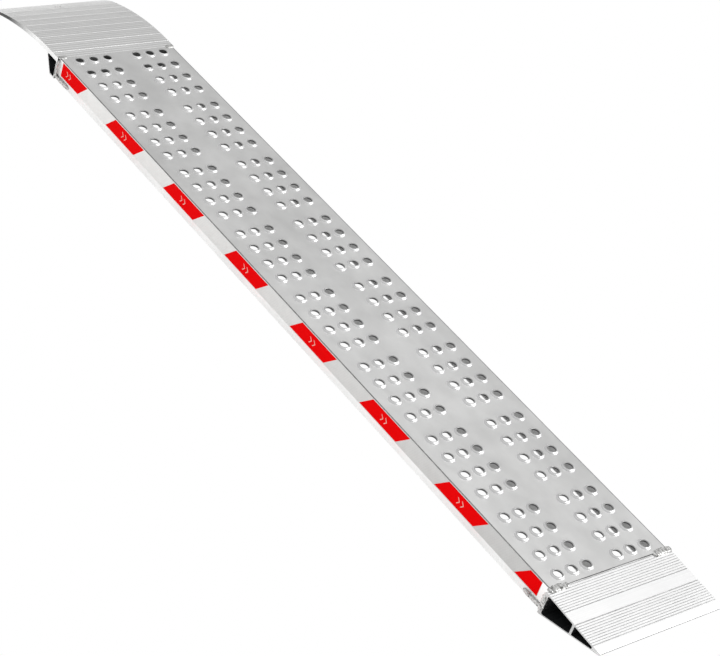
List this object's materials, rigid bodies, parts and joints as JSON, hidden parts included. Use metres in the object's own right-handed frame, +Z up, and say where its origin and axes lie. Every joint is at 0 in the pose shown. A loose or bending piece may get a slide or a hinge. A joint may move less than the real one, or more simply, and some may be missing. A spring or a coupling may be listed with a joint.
{
  "type": "loading ramp",
  "caption": "Rigid narrow loading ramp with a punched tread deck, hollow foot wedge, curved hook for a load bed, and red and white reflective tape along both side rails.",
  "frame": {"origin": "centre of the ramp's outline on the ground, with the ramp lying flat", "axes": "+X along the ramp towards the foot wedge, +Y across it, +Z up out of the deck"},
  "size_m": [2.1732, 0.316, 0.0565],
  "materials": {
    "deck_aluminium": "satin rolled sheet and extrusion",
    "hook_extrusion": "satin extruded, ribbed across",
    "bright_extrusion": "bright extruded, finely ribbed across",
    "weld_metal": "bare rippled weld bead",
    "white_tape": "retroreflective film",
    "red_film": "retroreflective film"
  },
  "bodies": {
    "root": {"deck_plate": "deck_aluminium", "side_rail_left": "deck_aluminium", "side_rail_right": "deck_aluminium", "centre_stiffener": "deck_aluminium", "stiffener_welds": "weld_metal", "foot_wedge": "bright_extrusion", "hook": "hook_extrusion", "weld_foot_top_left": "weld_metal", "weld_foot_top_right": "weld_metal", "weld_foot_side_left": "weld_metal", "weld_foot_side_right": "weld_metal", "weld_foot_low_left": "weld_metal", "weld_foot_low_right": "weld_metal", "weld_hook_top_left": "weld_metal", "weld_hook_top_right": "weld_metal", "weld_hook_side_left": "weld_metal", "weld_hook_side_right": "weld_metal", "weld_hook_low_left": "weld_metal", "weld_hook_low_right": "weld_metal", "tape_left": "white_tape", "tape_right": "white_tape", "red_panel_left_1": "red_film", "red_panel_left_2": "red_film", "red_panel_left_3": "red_film", "red_panel_left_4": "red_film", "red_panel_left_5": "red_film", "red_panel_left_6": "red_film", "red_panel_left_7": "red_film", "red_panel_left_8": "red_film", "red_panel_right_1": "red_film", "red_panel_right_2": "red_film", "red_panel_right_3": "red_film", "red_panel_right_4": "red_film", "red_panel_right_5": "red_film", "red_panel_right_6": "red_film", "red_panel_right_7": "red_film", "red_panel_right_8": "red_film"}
  },
  "joints": []
}
